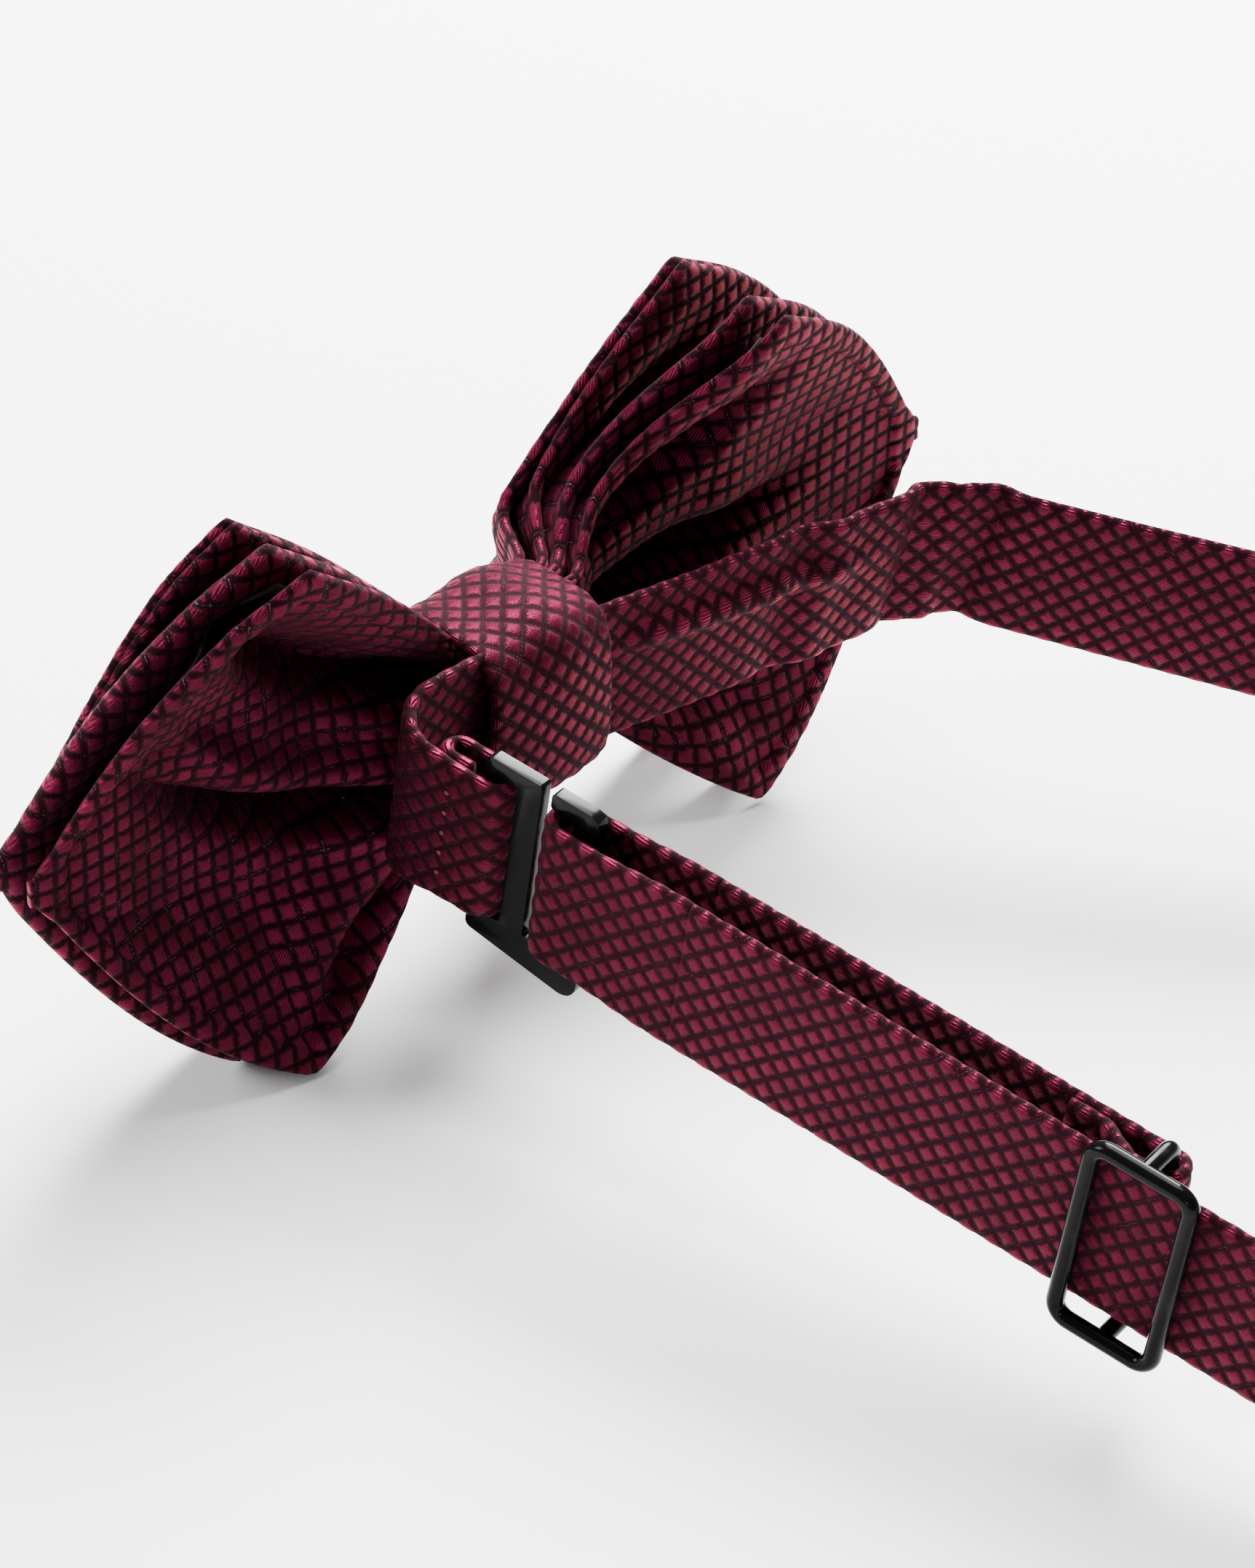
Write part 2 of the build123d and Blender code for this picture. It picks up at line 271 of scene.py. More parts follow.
# %% [markdown]
# ## The woven cloth
# The cloth is a burgundy satin with small raised squares. Dark lines run between the squares, and
# a pale thread shows here and there along them. The pattern has to follow the cloth, so it reads a
# UV map whose unit is one square. The same map raises each square in the mesh itself.

# %% Cloth materials
SQUARE = 2.0          # mm from one raised square to the next
RIBS = 7              # fine ribs across a square


def woven(name, bright, deep, line, pale, gap):
    """Raised satin squares between dark lines, with fine ribs and a pale thread in places. gap is
    where a line begins and where it is full, from 0 in a square's middle to 0.5 on its edge."""
    material, shader, kit = new_material(name)
    weave = kit.make("ShaderNodeUVMap", {"uv_map": "Weave"}, {})
    across = weave.make("ShaderNodeSeparateXYZ", {}, {0: weave})
    upward = Wire(kit.tree, across.socket.node.outputs[1])
    side_a = across.maths("ABSOLUTE", across.maths("FRACT", across) - 0.5)
    side_b = upward.maths("ABSOLUTE", upward.maths("FRACT", upward) - 0.5)
    nearest = side_a.maths("MAXIMUM", side_a, side_b)
    wander, fuzz = weave.noise(3.1, 3.0), weave.noise(14.0, 3.0)
    groove = (nearest + (wander - 0.5) * 0.22 + (fuzz - 0.5) * 0.36).step(*gap)
    ribs = across.maths("SINE", (across + upward) * (2 * pi * RIBS))
    cloudy = weave.noise(0.33, 2.0)
    shine = cloudy.step(0.3, 0.7) * 0.6 + fuzz.step(0.35, 0.7) * 0.4 + ribs * 0.12
    cloth_colour = colour_mix(groove, colour_mix(shine, deep, bright), line)
    patches, beads = weave.noise(0.9, 4.0), weave.noise(9.0, 2.0)
    thread = nearest.step(0.465, 0.49) * patches.step(0.54, 0.66) * beads.step(0.45, 0.6)
    plug(shader, "Base Color", colour_mix(thread, cloth_colour, pale))
    height = (ribs * 0.3 * (1 - groove) - groove * 0.9 + thread * 0.9
              + (wander + fuzz - 1) * 0.6)
    plug(shader, "Normal", height.bump(0.9, 0.0001))
    plug(shader, "Metallic", 0.66 * (1 - groove))
    plug(shader, "Roughness", 0.38 + groove * 0.56 + (wander - 0.5) * 0.12)
    shader.inputs["Sheen Weight"].default_value = 0.02
    shader.inputs["Sheen Roughness"].default_value = 0.4
    shader.inputs["Sheen Tint"].default_value = (1.0, 0.55, 0.7, 1)
    shader.inputs["Specular IOR Level"].default_value = 0.16
    shader.inputs["Specular Tint"].default_value = (1.0, 0.22, 0.40, 1)
    return material


strap_satin = woven("strap_squares", bright=(0.108, 0.0085, 0.027, 1),
                    deep=(0.048, 0.0036, 0.0120, 1), line=(0.0075, 0.0016, 0.0032, 1),
                    pale=(0.08, 0.03, 0.045, 1), gap=(0.20, 0.42))
# The wings' copy of the satin has a darker deep tone and darker lines than the straps' copy. That
# darkness is painted shade for the hollows of the bows. Its wider squares and paler threads are the
# cloth's own.
wing_satin_painted_shade = woven("wing_squares_painted_shade", bright=(0.112, 0.0078, 0.029, 1),
                   deep=(0.032, 0.0021, 0.0080, 1), line=(0.0028, 0.0007, 0.0014, 1),
                   pale=(0.14, 0.07, 0.09, 1), gap=(0.25, 0.43))


def plain_cloth(name, colour, dark, scale):
    """Felt, tape or thread: fibres with no pattern, on Object coordinates."""
    material, shader, kit = new_material(name)
    fibres = object_place(kit).noise(scale, 5.0)
    plug(shader, "Base Color", colour_mix(fibres.step(0.35, 0.7), dark, colour))
    plug(shader, "Normal", fibres.bump(0.6, 0.0001))
    shader.inputs["Roughness"].default_value = 0.9
    return material


felt = plain_cloth("dark_felt", (0.045, 0.040, 0.042, 1), (0.015, 0.013, 0.014, 1), 3000)
thread = plain_cloth("sewing_thread", (0.20, 0.015, 0.045, 1), (0.06, 0.005, 0.015, 1), 9000)
print(f"cloth: raised squares {SQUARE} mm apart, with {RIBS} ribs each")

# %% [markdown]
# ## The black metal
# Hook and slider are steel with a hard, glossy black coat. The coat is thin, so it's a little uneven,
# and it has fine rubbed marks where the straps run over it.

# %% Metal and floor materials


def black_coat(name):
    """A hard black coat, a little uneven, with fine rubbed marks."""
    material, shader, kit = new_material(name)
    place = object_place(kit)
    uneven, rubbed = place.noise(900.0, 3.0), place.noise(260.0, 6.0)
    plug(shader, "Base Color", colour_mix(rubbed.step(0.60, 0.78), (0.0025, 0.0025, 0.003, 1),
                                          (0.010, 0.010, 0.011, 1)))
    plug(shader, "Roughness", 0.16 + rubbed.step(0.5, 0.8) * 0.22)
    plug(shader, "Normal", uneven.bump(0.25, 0.00002))
    shader.inputs["Specular IOR Level"].default_value = 0.06
    return material


coated = black_coat("black_coat")
paper, paper_shader, _ = new_material("pale_floor")
paper_shader.inputs["Base Color"].default_value = (0.92, 0.92, 0.92, 1)
paper_shader.inputs["Roughness"].default_value = 0.8
floor.data.materials.append(paper)
print("finishes:", ", ".join(material.name for material in bpy.data.materials))

# %% [markdown]
# ## How a piece of cloth is made
# A grid is the natural start for cloth: its rows and columns run with the threads. Each point of the
# grid is moved to its place on the finished surface, and the UV map keeps where it was on the flat
# cloth. The Solidify modifier gives the thickness. A last pass rounds the hems and raises the
# squares, which moves both faces apart along the thickness and so can't turn the mesh inside out.

# %% The cloth maker
PUFF = 0.20           # mm that the middle of a square stands up
HEM_LEFT = 0.12       # share of the thickness that is left right at an edge
HEM_ROUND = 0.8       # thicknesses inside an edge where the cloth is whole
MEET = 0.02           # mm, under which the points of a closed tube are joined


def coordinates(obj):
    points = np.empty(len(obj.data.vertices) * 3)
    obj.data.vertices.foreach_get("co", points)
    return points.reshape(-1, 3)


def set_coordinates(obj, points):
    obj.data.vertices.foreach_set("co", np.ascontiguousarray(points).ravel())
    obj.data.update()


def rounded(distance, reach):
    """Share of the full thickness this far inside a hem."""
    inside = np.clip(distance / reach, 0, 1)
    return np.sqrt(1 - (1 - inside) ** 2)


def pillow(cells):
    """Height of a raised square, from 0 on its lines to 1 in its middle."""
    lift = np.abs(np.sin(pi * cells[:, 0]) * np.sin(pi * cells[:, 1]))
    return lift ** 0.55


def apply_modifier(obj, kind, **settings):
    modifier = obj.modifiers.new(kind.title(), kind)
    for name, value in settings.items():
        setattr(modifier, name, value)
    bpy.context.view_layer.objects.active = obj
    bpy.ops.object.modifier_apply(modifier=modifier.name)


def cloth(name, columns, rows, place, flat, hem, thickness, turned=0, puff=PUFF, closed=False):
    """A sheet of woven cloth. place gives millimetres, flat the place on the flat cloth, and hem
    the distance to the nearest edge, all for s across and t along, from 0 to 1. turned is how far
    the squares are turned on the cloth, and closed joins the two ends of a tube."""
    nothing_selected()
    bpy.ops.mesh.primitive_grid_add(x_subdivisions=columns, y_subdivisions=rows, size=1)
    sheet = bpy.context.object
    sheet.name = sheet.data.name = name
    grid = coordinates(sheet)
    s, t = grid[:, 0] + 0.5, grid[:, 1] + 0.5
    set_coordinates(sheet, place(s, t) * MM)
    flat_place = flat(s, t)
    corners = np.empty(len(sheet.data.polygons) * 4, int)
    sheet.data.polygons.foreach_get("vertices", corners)
    first, second, third, fourth = flat_place[corners.reshape(-1, 4)].transpose(1, 0, 2)
    crossed = third - first, fourth - second
    extent = flat_place.max(axis=0) - flat_place.min(axis=0)
    spin = np.array(((cos(turned), -sin(turned)), (sin(turned), cos(turned))))
    cells = flat_place @ spin.T / SQUARE
    corner_points = np.empty(len(sheet.data.loops), int)
    sheet.data.loops.foreach_get("vertex_index", corner_points)
    weave_map = sheet.data.uv_layers[0]
    weave_map.name = "Weave"
    weave_map.uv.foreach_set("vector", cells[corner_points].astype(np.float32).ravel())
    apply_modifier(sheet, "SOLIDIFY", thickness=thickness * MM, offset=0)
    faces = coordinates(sheet)
    count = len(s)
    middle = (faces[:count] + faces[count:]) / 2
    outer = faces[:count] - faces[count:]
    length = np.linalg.norm(outer, axis=1, keepdims=True)
    share = rounded(hem(s, t), thickness * HEM_ROUND)
    whole = thickness / 2 * (HEM_LEFT + (1 - HEM_LEFT) * share)
    rise = (whole + puff * pillow(cells) * share) * MM
    step = outer / length * rise[:, None]
    set_coordinates(sheet, np.concatenate((middle + step, middle - step)))
    if closed:
        bpy.ops.object.mode_set(mode="EDIT")
        bpy.ops.mesh.select_all(action="SELECT")
        bpy.ops.mesh.remove_doubles(threshold=MEET * MM)
        bpy.ops.object.mode_set(mode="OBJECT")
    bpy.ops.object.shade_smooth()
    sheet.data.materials.append(strap_satin if turned else wing_satin_painted_shade)
    extent * MM
    print(f"{name}: cut {extent[0]:.1f} x {extent[1]:.1f} mm")
    return sheet


# %% [markdown]
# ## The wings
# Each bow is a folded band of cloth. Its two plies lie one behind the other, cut to a point at each
# end and gathered into the knot. The gathers make deep folds that fan out from the knot and die away
# before the hems, and the pressed hem stands up round the hollow. Each fold is a line across the wing
# with a depth and a width, and the plies follow the same folds, less and less towards the front.

# %% Wing outline and folds
waist_x, waist_rise = 9.5, 8.6      # mm from the middle to the waist, and half its height
shoulder_x = 33.8       # mm from the middle to the shoulder, where the wing is highest
wing_from = 1.0         # mm from the middle, where a wing begins inside the knot
edge_bulge = 1.5        # mm that the edge from waist to shoulder bows outwards
hem_bulge = 5.0         # mm that the edge from shoulder to tip bows outwards
tip_round = 0.09        # share of the run from tip to shoulder that is rounded off
tip_least = 0.018       # share of that run where the tip's height stops shrinking
gather = 0.45           # share of the missing height at the waist that the gathers take up
table_gap = 0.4         # mm from the table to the cloth that stands on it


def smooth(value, low, high):
    """0 below low, 1 above high, and smooth between them."""
    share = np.clip((value - low) / (high - low), 0, 1)
    return share * share * (3 - 2 * share)


def half_height(x):
    """Half the height of a wing, this far from the middle of the bow."""
    run = np.clip((x - waist_x) / (shoulder_x - waist_x), 0, 1)
    rising = waist_rise + (bow_rise - waist_rise) * run + edge_bulge * np.sin(pi * run)
    left = np.clip((tip_reach - x) / (tip_reach - shoulder_x), tip_least, 1)
    blunt = np.where(left < tip_round, np.sqrt(left * tip_round), left)
    falling = bow_rise * blunt + hem_bulge * np.sin(pi * left)
    return np.minimum(rising, falling)


def fold(x, z, line, width, width_up, start, end):
    """A fold's depth, 0 to 1: line gives its height at x, with its own width on each side."""
    offset = z - line(x)
    scale = np.where(offset > 0, width_up, width) * (0.45 + 0.55 * smooth(x, 6, 30))
    fade = smooth(x, start[0], start[1]) * (1 - smooth(x, end[0], end[1]))
    return np.exp(-(offset / scale) ** 2) * fade


def near_folds(x, z):
    """Depth of the near wing's hollows, in millimetres."""
    top = fold(x, z, lambda q: 3.6 + 0.26 * (q - 8) + 0.0105 * (q - 8) ** 2, 3.2, 5.4,
               (7, 14), (26, 46))
    ridge = fold(x, z, lambda q: -1.9 + 0.00042 * np.clip(q - 12, 0, 99) ** 3, 1.9, 2.8,
                 (8, 14), (36, 52))
    crease = fold(x, z, lambda q: -5.4 + 0.000215 * (q - 8) ** 3, 3.4, 1.3, (7, 13), (30, 50))
    third = fold(x, z, lambda q: -7.2 - 0.10 * (q - 8), 1.8, 1.7, (8, 13), (22, 36))
    low = fold(x, z, lambda q: -8.2 - 0.72 * (q - 8), 3.6, 2.6, (8, 13), (19, 36))
    return 7.6 * top - 1.6 * ridge + 7.4 * crease - 1.5 * third + 6.4 * low


def far_folds(x, z):
    """Depth of the far wing's hollows, in millimetres."""
    top = fold(x, z, lambda q: 5.2 + 0.55 * (q - 8), 2.8, 3.4, (7, 13), (22, 42))
    middle = fold(x, z, lambda q: -0.5 + 0.12 * (q - 8), 2.4, 2.4, (7, 13), (26, 48))
    low = fold(x, z, lambda q: -5.6 - 0.50 * (q - 8), 3.4, 2.6, (8, 13), (20, 40))
    return 6.0 * top + 6.4 * middle + 5.6 * low


def wing_flat(s, t, side, short, margin):
    """Where a point of the wing was on the flat cloth: the gathers take up its full height."""
    x = wing_from + (tip_reach - wing_from) * t
    taken_up = gather * (1 - smooth(x, 12, shoulder_x))
    full = half_height(x) + (bow_rise - half_height(x)) * taken_up
    x = x - (short + margin) * smooth(x, 30, 60)
    return np.stack((side * x, (2 * s - 1) * np.maximum(full - margin, 1)), axis=1)


def ply(name, side, depth, ys, share, curl, flare=(7, 20), grow=0.0, thickness=1.1, bowl=1.0,
        short=0.0, lift=0.0, pressed=0.0, meet=0.0, finish=None, margin=0.0):
    """One ply of a wing. ys are its y at the waist, half way and at the shoulder, and flare is
    where it leaves the waist and gets half way. share is how much it follows the folds, and curl
    how far its tip bends forward. grow widens it below, bowl is how far its middle sinks below
    its hems, pressed is how far the pressed hem stands off the rest, and meet moves the hem
    towards the ply that it is sewn to. short takes length off its point, lift raises the point,
    finish is the felt's material, and margin keeps felt off the hems."""

    def place(s, t):
        x = wing_from + (tip_reach - wing_from) * t
        across = 2 * s - 1
        height = half_height(x)
        lower = np.where(across < 0, 1 + grow / np.maximum(height, 4) * smooth(x, 12, 30), 1)
        z = across * height * lower * (1 - margin / np.maximum(height, margin + 1))
        x = x - (short + margin) * smooth(x, 30, 60)
        inside = np.minimum((1 - np.abs(across)) * height, (1 - t) * 50) + 1.6 * margin
        rim_free = 0.15 + 0.85 * smooth(inside, 1.0, 6.5)
        cupped = bowl * smooth(inside, 0, 20) * smooth(x, 14, 30)
        ledge = pressed * (smooth(inside, 2.6, 3.6) - 1) * smooth(x, 9, 14)
        y = ys[0] + (ys[1] - ys[0]) * smooth(x, *flare) + (ys[2] - ys[1]) * smooth(x, 15, 34)
        y = y - curl * smooth(x, 26, 66) ** 1.3
        y = y - share * depth(x, z) * rim_free - cupped - ledge
        y = y + meet * (1 - smooth(inside, 0, 6)) * smooth(x, 10, 20)
        rise = np.maximum(bow_rise + z, table_gap) + lift * smooth(x, 34, 60)
        return np.stack((side * x, y, rise), axis=1)

    def hem(s, t):
        x = wing_from + (tip_reach - wing_from) * t
        return np.minimum((1 - np.abs(2 * s - 1)) * half_height(x) * 0.8, (1 - t) * 60 + 0.3)

    def flat(s, t):
        return wing_flat(s, t, side, short, margin)

    if finish:
        sheet = cloth(name, 40, 40, place, flat, hem, thickness, puff=0)
        sheet.data.materials[0] = finish
    else:
        sheet = cloth(name, 132, 122, place, flat, hem, thickness)
    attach(sheet, "bow")
    return sheet


# %% [markdown]
# ## Eight plies and four felts
# Each wing is two bows of two plies, with a felt between the two plies of a bow to keep it full.
# One function makes them all, since they differ only in their places and in how far they follow
# the folds. The felt is a coarser grid, cut smaller, so that it stays inside the hems.

# %% Eight plies, and the felt between them
near_plies = {
    "rear_bow_back": dict(ys=(-1.5, 1.0, 4.2), share=1.0, curl=12.0, thickness=0.9,
                          bowl=8.5, pressed=0.9),
    "rear_bow_felt": dict(ys=(-2.6, -0.4, 2.5), share=1.0, curl=12.3, thickness=0.5,
                          bowl=8.5, finish=felt, margin=4.0),
    "rear_bow_front": dict(ys=(-3.7, -2.4, -0.9), share=0.98, curl=11.0, grow=2.4,
                           thickness=2.2, bowl=7.0),
    "front_bow_back": dict(ys=(-5.3, -5.0, -5.4), share=0.92, curl=8.8, short=4.5,
                           bowl=4.6, meet=-0.6),
    "front_bow_felt": dict(ys=(-6.3, -6.2, -6.5), share=0.87, curl=8.2, thickness=0.5,
                           bowl=4.3, finish=felt, margin=5.0),
    "front_bow_front": dict(ys=(-7.3, -7.5, -7.8), share=0.84, curl=8.0, short=4.5,
                            bowl=4.2, meet=0.6)}
far_plies = {
    "rear_bow_back": dict(ys=(-1.8, -6.0, 1.6), flare=(7, 15), share=0.9, curl=5.0,
                          thickness=0.9, lift=4.0, bowl=5.0, pressed=0.5),
    "rear_bow_felt": dict(ys=(-2.9, -7.1, 0.2), flare=(7, 15), share=0.9, curl=5.0,
                          thickness=0.5, bowl=5.0, finish=felt, margin=4.0, lift=4.0),
    "rear_bow_front": dict(ys=(-4.0, -9.0, -3.2), flare=(6, 15), share=0.8, curl=5.0,
                           thickness=1.4, bowl=3.0, lift=4.0),
    "front_bow_back": dict(ys=(-5.4, -13.0, -12.3), flare=(6, 14), share=0.45, curl=1.3,
                           bowl=1.5, lift=4.0, meet=-0.6),
    "front_bow_felt": dict(ys=(-6.4, -14.2, -13.5), flare=(5.5, 13), share=0.42, curl=1.3,
                           thickness=0.5, bowl=1.3, finish=felt, margin=5.0, lift=4.0),
    "front_bow_front": dict(ys=(-7.4, -15.5, -14.9), flare=(5, 11.5), share=0.36, curl=1.0,
                            bowl=1.0, lift=4.0, meet=0.6)}
wings = (("near", 1, near_folds, near_plies), ("far", -1, far_folds, far_plies))
for word, side, depth, settings in wings:
    for layer, sizes in settings.items():
        ply(f"{layer}_{word}", side, depth, **sizes)
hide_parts("rear_bow")
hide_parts("front_bow")
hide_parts("rear_bow_interlining")
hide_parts("front_bow_interlining")

# %% [markdown]
# ## The knot
# The knot is a strip of the same cloth, folded to a rounded band and sewn into a tube round both
# bows. A grid bent round a rounded rectangle gives it. Its long sides are folded edges, so they are
# thicker and roll inwards, and the front is a little fuller than the back.

# %% Knot
knot_middle = (knot_low + knot_high) / 2
knot_half = (knot_high - knot_low) / 2
knot_deep, knot_tall = knot_half[1] - 0.9, knot_half[2] - 0.6
knot_power = 0.52       # 1 gives a round tube, and less a squarer one
knot_forward = 0.1      # mm that the tube sits in front of the CAD knot's middle


def signed_power(value):
    return np.sign(value) * np.abs(value) ** knot_power


turns = np.linspace(0, 2 * pi, 721) - 3 * pi / 4
round_y = knot_deep * signed_power(np.cos(turns))
round_z = knot_tall * signed_power(np.sin(turns))
girth = np.concatenate(((0,), np.cumsum(np.hypot(np.diff(round_y), np.diff(round_z)))))
knot_girth = girth[-1]


def knot_place(s, t):
    """Round the tube for t, measured along the cloth, and along the bow for s."""
    edge = np.abs(2 * s - 1)
    y = np.interp(t * knot_girth, girth, round_y)
    z = np.interp(t * knot_girth, girth, round_z)
    size = np.hypot(y, z)
    crease = 0.30 * np.sin(3.2 * pi * s + 0.6) * np.clip(z / knot_tall, 0, 1)
    inwards = (0.95 * edge ** 2.5 + crease) / size
    x = knot_middle[0] + (2 * s - 1) * (knot_half[0] - 0.2)
    y = knot_middle[1] - knot_forward + y * (1 - inwards)
    return np.stack((x, y, knot_middle[2] + z * (1 - inwards)), axis=1)


knot_wide = 2 * knot_half[0]
knot = cloth("knot_cloth", 44, 180, knot_place,
             lambda s, t: np.stack((s * knot_wide, t * knot_girth), axis=1),
             lambda s, t: np.minimum(s, 1 - s) * knot_wide, 1.1, turned=pi / 4, closed=True)
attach(knot, "bow")
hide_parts("knot_wrap")

# %% [markdown]
# ## The straps
# A strap is a long grid that follows its centre line. The line is made of straight runs and arcs, as
# on the pattern, and is measured along its length, so that the squares stay square round every bend.

# %% Strap maker


def straight(start, end, step=0.4):
    """A straight run, as points a step apart."""
    start, end = np.asarray(start, float), np.asarray(end, float)
    count = max(2, int(hypot(*(end - start)) / step))
    share = np.linspace(0, 1, count + 1)[:, None]
    return start + (end - start) * share


def arc(middle, radius, first, last, step=0.25):
    """Part of a circle, from one angle to another."""
    count = max(6, int(abs(last - first) * radius / step))
    angle = np.linspace(first, last, count + 1)
    return np.stack((middle[0] + radius * np.cos(angle), middle[1] + radius * np.sin(angle)), axis=1)


def joined(*runs):
    """One centre line from its runs, with each meeting point kept once."""
    points = [runs[0]]
    for run in runs[1:]:
        points.append(run[1:])
    return np.concatenate(points)


def strap(name, line, lift, width, thickness=1.2, puff=PUFF, wave=None, cells=0.42, start=0.0):
    """Cloth along a centre line. lift turns plane places and a height into the world, wave
    pushes the cloth off its line, and start is where the squares begin along the band."""
    length = np.concatenate(((0,), np.cumsum(np.hypot(*np.diff(line, axis=0).T))))
    total = length[-1]
    tangent = np.gradient(line, length, axis=0)

    def place(s, t):
        run = t * total
        x, y = (np.interp(run, length, line[:, axis]) for axis in (0, 1))
        dx, dy = (np.interp(run, length, tangent[:, axis]) for axis in (0, 1))
        v = (s - 0.5) * width(run)
        push = wave(run, v) if wave else 0 * run
        size = np.hypot(dx, dy)
        return lift(x - dy / size * push, y + dx / size * push, v)

    def hem(s, t):
        return np.minimum(s, 1 - s) * width(t * total)

    def flat(s, t):
        return np.stack(((s - 0.5) * width(t * total), start + t * total), axis=1)

    columns = int(np.max(width(np.zeros(1))) / cells)
    sheet = cloth(name, columns, int(total / cells), place, flat, hem, thickness,
                  turned=pi / 4, puff=puff)
    sheet["flat_length"] = total
    return sheet


# %% [markdown]
# ## The neckband
# The band leaves the knot on the far side, bends sharply where it was pressed flat in its packing,
# goes round behind as an arc, and comes back straight to the hook. The arc's end is worked out from
# the bend, so that the two meet without a kink. Soft folds and a slight ripple are pushed in last.

# %% Neckband
strap_width = 18.5
tape_width = 15.0
strap_y = 2.6           # mm behind the middle, where both straps enter the knot
bend_at = np.array((-51.7, 9.9))    # mm, the band's sharp bend in the ring's plane
bend_radius = 6.0
ring_radius = 55.0
near_length = 91.0      # mm from the prong to the end of the straight run
run_space = 2.4         # mm between the prong's middle and each layer of the band
steady_from = 14.0      # mm from the prong, where the band stops moving with the hook

ring_along = np.array((along[0], along @ ring_back))
ring_out = np.array((outward[0], outward @ ring_back))
prong = from_ring(eye) + ring_along * eye_to_prong
ring_middle = prong + ring_along * near_length + ring_out * (run_space - ring_radius)
to_middle = ring_middle - bend_at
far_heading = atan2(to_middle[1], to_middle[0]) + np.arcsin(ring_radius / np.hypot(*to_middle))
far_angle = far_heading + pi / 2
near_angle = atan2(ring_out[1], ring_out[0])


def corner(before, at, after, radius):
    """A rounded corner: the arc that touches both runs."""
    first = (at - before) / np.hypot(*(at - before))
    second = (after - at) / np.hypot(*(after - at))
    swing = atan2(first[0] * second[1] - first[1] * second[0], first @ second)
    side = np.sign(swing)
    reach = radius * abs(np.tan(swing / 2))
    middle = at - first * reach + side * radius * np.array((-first[1], first[0]))
    from_angle = atan2(*((at - first * reach - middle)[::-1]))
    return arc(middle, radius, from_angle, from_angle + swing)


far_start = np.array((-1.0, strap_y))
far_tangent = ring_middle + ring_radius * np.array((cos(far_angle), sin(far_angle)))
bend_arc = corner(far_start, bend_at, far_tangent, bend_radius)
near_top = prong + ring_along * near_length + ring_out * run_space
near_low = prong + ring_along * steady_from + ring_out * run_space
band_line = joined(straight(far_start, bend_arc[0]), bend_arc, straight(bend_arc[-1], far_tangent),
                   arc(ring_middle, ring_radius, far_angle, near_angle), straight(near_top, near_low))


pressed_folds = ((46, 0.9, 1.6), (50.5, -0.7, 1.3), (55, 0.8, 1.7), (30, 0.7, 2.6),
                 (35, -0.5, 2.2))       # mm along the band, its push, and its breadth


def band_wave(run, v):
    """Soft folds beside the bend, where the band was pressed, and a slight ripple all along."""
    folds = 0
    for at, size, broad in pressed_folds:
        folds = folds + size * np.exp(-((run - at - 0.12 * v) / broad) ** 2)
    away = smooth(run, 16, 26)
    steady = 1 - smooth(run, 300, 320)
    crease = -1.7 * np.exp(-((v - 4.6 + 0.05 * run) / 1.5) ** 2)
    crease = crease * smooth(run, 6, 12) * (1 - smooth(run, 26, 46))
    return (folds * away + 0.35 * np.sin(run / 17 + v / 9) * away + crease) * steady


def even(width):
    """The same width all along."""
    return lambda run: np.full_like(run, width)


band = strap("neckband_cloth", band_line, on_ring, even(strap_width), wave=band_wave)
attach(band, "bow")
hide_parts("neckband")
tape = strap("neckband_tape", band_line, on_ring, even(tape_width), thickness=0.3,
             wave=band_wave, puff=0, cells=1.5)
tape.data.materials[0] = felt
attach(tape, "bow")
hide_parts("neckband_interlining")
band_total = band["flat_length"]
print(f"neckband: {band_total:.0f} mm of strap,",
      f"bend {np.hypot(*to_middle):.0f} mm from the ring's middle")

# %% [markdown]
# ## Round the prong, and back to the slider
# The band goes round the hook's prong with a little slack, and its end is doubled round the slider's
# cross bar. These are three more sheets: the loop round the prong, the tail, and the end, which rides
# on the slider. Their squares go on from where the sheet before ended, so that the cloth reads as one.

# %% Neckband round the prong, and back to the slider
loop_slack = 1.7        # mm between the prong and the loop's end
loop_line = joined(straight((steady_from, run_space), (-loop_slack, run_space)),
                   arc((-loop_slack, 0), run_space, pi / 2, 3 * pi / 2),
                   straight((-loop_slack, -run_space), (steady_from, -run_space)))


def loop_width(run):
    """The strap is gathered where it passes the hook."""
    return strap_width - 1.3 * smooth(run, 2, 12) * (1 - smooth(run, 26, 37))


loop = strap("neckband_loop_cloth", loop_line, beside, loop_width, start=band_total)
loop_total = loop["flat_length"]
beside(steady_from, 0, 0) * MM
beside(1.0, 0, 0) * MM
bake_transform(loop)
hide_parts("neckband_loop")

slider_at = 66.0        # mm from the prong to the slider's cross bar
lap = 11.0              # mm that the end is doubled back
tail_line = straight((steady_from, -run_space), (slider_at - lap, -run_space))
tail = strap("neckband_tail_cloth", tail_line, beside, even(strap_width),
             start=band_total + loop_total)
beside(steady_from, 0, 0) * MM
beside(slider_at - lap, 0, 0) * MM
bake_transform(tail)
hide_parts("neckband_tail")

bar_out = -0.725        # mm from the strap's middle to the cross bar's
wrap_radius = 1.675     # mm from the bar's middle to the middle of the cloth round it
lap_out = 1.2 + 0.06 - run_space    # one thickness and a hair above the tail
end_line = joined(straight((slider_at - lap, -run_space), (slider_at, -run_space)),
                  arc((slider_at, bar_out), wrap_radius, -pi / 2, pi / 2),
                  straight((slider_at, bar_out + wrap_radius), (slider_at - 3.2, bar_out + wrap_radius)),
                  straight((slider_at - 3.2, bar_out + wrap_radius), (slider_at - 7.0, lap_out)),
                  straight((slider_at - 7.0, lap_out), (slider_at - lap, lap_out)))
tail_end = strap("tail_end_cloth", end_line, beside, even(strap_width),
                 start=band_total + loop_total + slider_at - lap - steady_from)
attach(tail_end, "slider")
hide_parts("tail_end")

